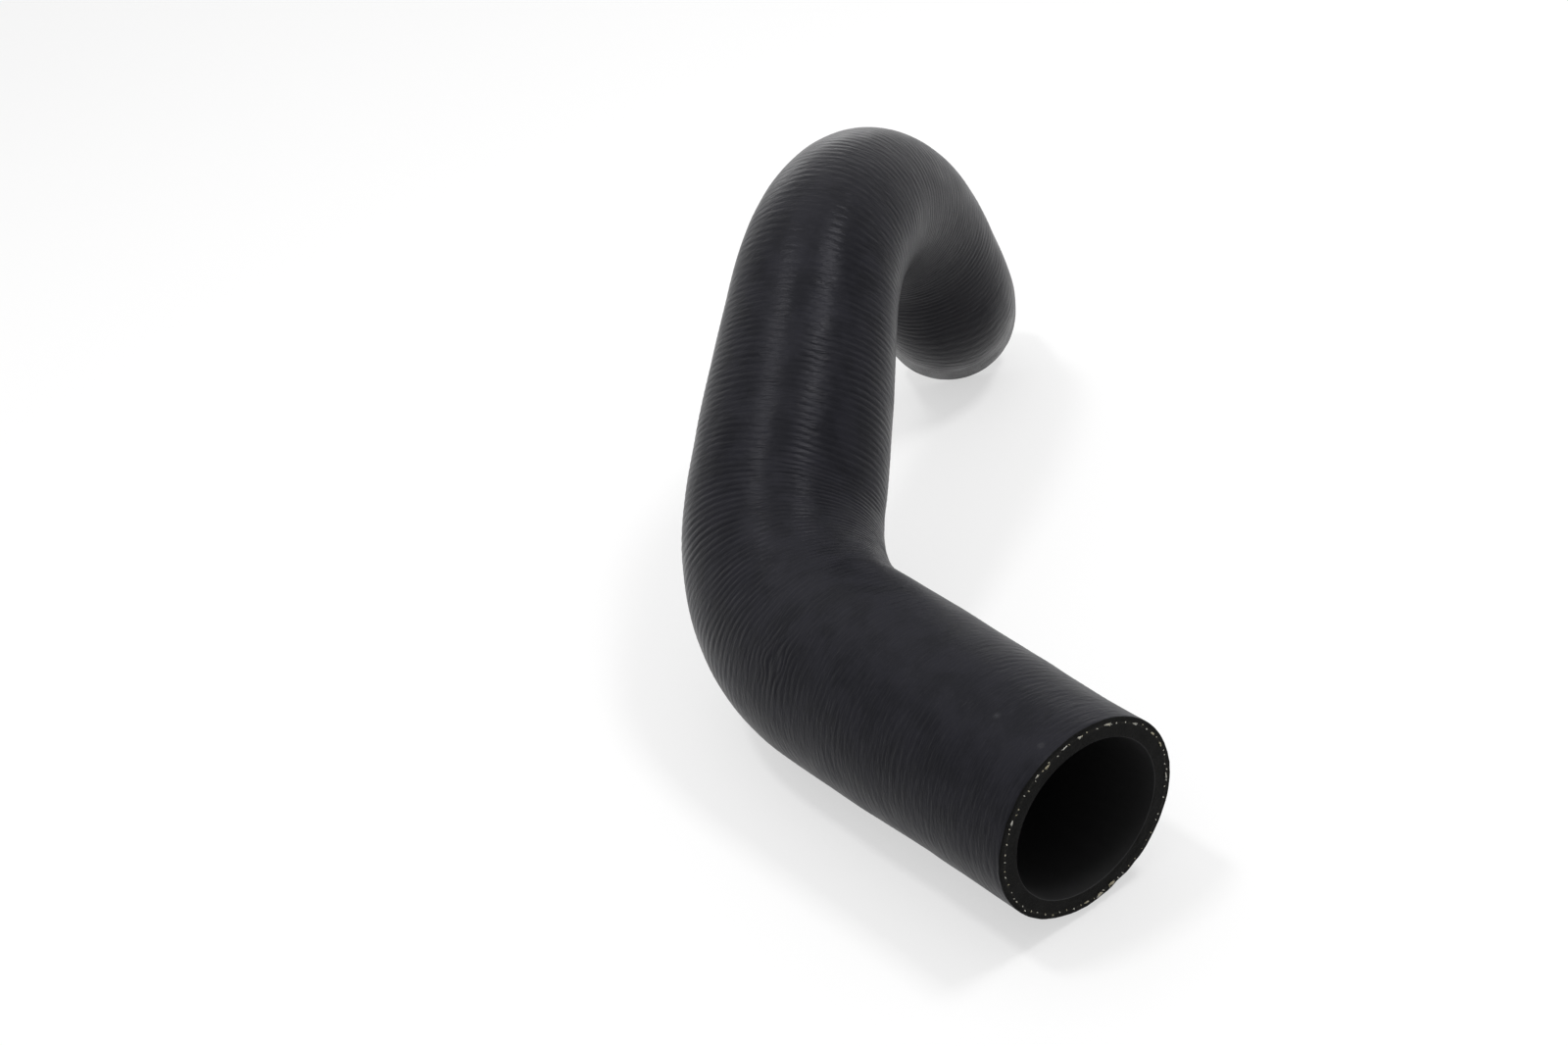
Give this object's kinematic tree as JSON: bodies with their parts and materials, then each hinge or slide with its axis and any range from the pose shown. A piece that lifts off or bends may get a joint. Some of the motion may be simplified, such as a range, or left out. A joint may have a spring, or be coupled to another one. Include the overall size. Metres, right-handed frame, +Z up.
{
  "type": "charge air hose",
  "caption": "Moulded black rubber charge air hose, an open tube with compound bends and flat-cut ends.",
  "frame": {"origin": "the middle of the hose's footprint on the surface that it lies on, at the centre of the bottom of its bounding box", "axes": "+Z up, as the hose lies at rest. +Y from the front cut along the front leg, so the front mouth looks towards -Y. +X to the side that the far end turns to"},
  "size_m": [0.2092, 0.2822, 0.1175],
  "materials": {
    "rubber": "satin"
  },
  "bodies": {
    "root": {"hose": "rubber"}
  },
  "joints": []
}
